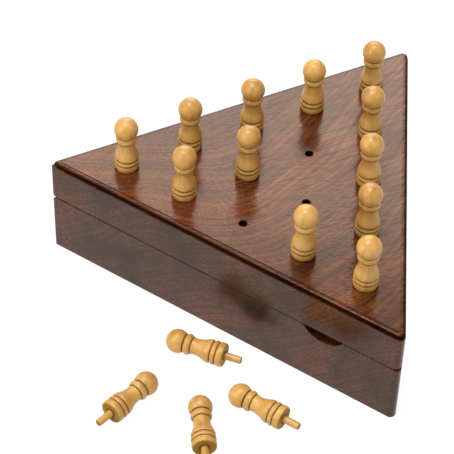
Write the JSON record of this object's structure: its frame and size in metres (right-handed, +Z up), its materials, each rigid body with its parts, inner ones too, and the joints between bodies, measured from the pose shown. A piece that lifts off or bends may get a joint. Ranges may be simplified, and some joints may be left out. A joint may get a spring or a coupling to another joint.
{
  "type": "triangular peg solitaire box",
  "caption": "Hinged triangular wooden box whose thick lid is a peg solitaire board, with turned pegs standing in its holes and lying beside it, and a storage hollow inside.",
  "frame": {"origin": "middle of the triangular underside of the base, on the surface that the box stands on", "axes": "+Z up; +Y towards the hinged edge, which is parallel to X; the free corner of the lid points to -Y"},
  "size_m": [0.1815, 0.1368, 0.0701],
  "materials": {
    "rosewood": "dark reddish brown, waxed to a soft gloss",
    "boxwood": "pale yellow turned wood, satin lacquer",
    "hinge_brass": "rolled brass, lightly brushed",
    "screw_brass": "turned brass"
  },
  "bodies": {
    "base": {"base_box": "rosewood", "hinge_left_lower_leaf": "hinge_brass", "hinge_left_lower_screws": "screw_brass", "hinge_left_pin": "hinge_brass", "hinge_right_lower_leaf": "hinge_brass", "hinge_right_lower_screws": "screw_brass", "hinge_right_pin": "hinge_brass"},
    "lid": {"lid_board": "rosewood", "hinge_left_upper_leaf": "hinge_brass", "hinge_left_upper_screws": "screw_brass", "hinge_right_upper_leaf": "hinge_brass", "hinge_right_upper_screws": "screw_brass"},
    "peg_row1_1": {"peg_row1_1": "boxwood"},
    "peg_row1_2": {"peg_row1_2": "boxwood"},
    "peg_row1_3": {"peg_row1_3": "boxwood"},
    "peg_row1_4": {"peg_row1_4": "boxwood"},
    "peg_row1_5": {"peg_row1_5": "boxwood"},
    "peg_row2_1": {"peg_row2_1": "boxwood"},
    "peg_row2_2": {"peg_row2_2": "boxwood"},
    "peg_row2_4": {"peg_row2_4": "boxwood"},
    "peg_row3_3": {"peg_row3_3": "boxwood"},
    "peg_row4_1": {"peg_row4_1": "boxwood"},
    "peg_row4_2": {"peg_row4_2": "boxwood"},
    "peg_row5_1": {"peg_row5_1": "boxwood"},
    "loose_peg_1": {"loose_peg_1": "boxwood"},
    "loose_peg_2": {"loose_peg_2": "boxwood"},
    "loose_peg_3": {"loose_peg_3": "boxwood"},
    "loose_peg_4": {"loose_peg_4": "boxwood"}
  },
  "joints": [
    {"name": "lid_hinge", "type": "hinge", "parent": "base", "child": "lid", "pos_m": [0, 0.04483, 0.02735], "axis": [-1, 0, 0], "range_deg": [0, 100]},
    {"name": "peg_row1_1_lift", "type": "slide", "parent": "lid", "child": "peg_row1_1", "axis": [0, 0, 1], "range_m": [0, 0.01]},
    {"name": "peg_row1_2_lift", "type": "slide", "parent": "lid", "child": "peg_row1_2", "axis": [0, 0, 1], "range_m": [0, 0.01]},
    {"name": "peg_row1_3_lift", "type": "slide", "parent": "lid", "child": "peg_row1_3", "axis": [0, 0, 1], "range_m": [0, 0.01]},
    {"name": "peg_row1_4_lift", "type": "slide", "parent": "lid", "child": "peg_row1_4", "axis": [0, 0, 1], "range_m": [0, 0.01]},
    {"name": "peg_row1_5_lift", "type": "slide", "parent": "lid", "child": "peg_row1_5", "axis": [0, 0, 1], "range_m": [0, 0.01]},
    {"name": "peg_row2_1_lift", "type": "slide", "parent": "lid", "child": "peg_row2_1", "axis": [0, 0, 1], "range_m": [0, 0.01]},
    {"name": "peg_row2_2_lift", "type": "slide", "parent": "lid", "child": "peg_row2_2", "axis": [0, 0, 1], "range_m": [0, 0.01]},
    {"name": "peg_row2_4_lift", "type": "slide", "parent": "lid", "child": "peg_row2_4", "axis": [0, 0, 1], "range_m": [0, 0.01]},
    {"name": "peg_row3_3_lift", "type": "slide", "parent": "lid", "child": "peg_row3_3", "axis": [0, 0, 1], "range_m": [0, 0.01]},
    {"name": "peg_row4_1_lift", "type": "slide", "parent": "lid", "child": "peg_row4_1", "axis": [0, 0, 1], "range_m": [0, 0.01]},
    {"name": "peg_row4_2_lift", "type": "slide", "parent": "lid", "child": "peg_row4_2", "axis": [0, 0, 1], "range_m": [0, 0.01]},
    {"name": "peg_row5_1_lift", "type": "slide", "parent": "lid", "child": "peg_row5_1", "axis": [0, 0, 1], "range_m": [0, 0.01]},
    {"name": "loose_peg_1_lift", "type": "slide", "parent": "base", "child": "loose_peg_1", "axis": [0, 0, 1], "range_m": [0, 0.04]},
    {"name": "loose_peg_2_lift", "type": "slide", "parent": "base", "child": "loose_peg_2", "axis": [0, 0, 1], "range_m": [0, 0.04]},
    {"name": "loose_peg_3_lift", "type": "slide", "parent": "base", "child": "loose_peg_3", "axis": [0, 0, 1], "range_m": [0, 0.04]},
    {"name": "loose_peg_4_lift", "type": "slide", "parent": "base", "child": "loose_peg_4", "axis": [0, 0, 1], "range_m": [0, 0.04]}
  ]
}
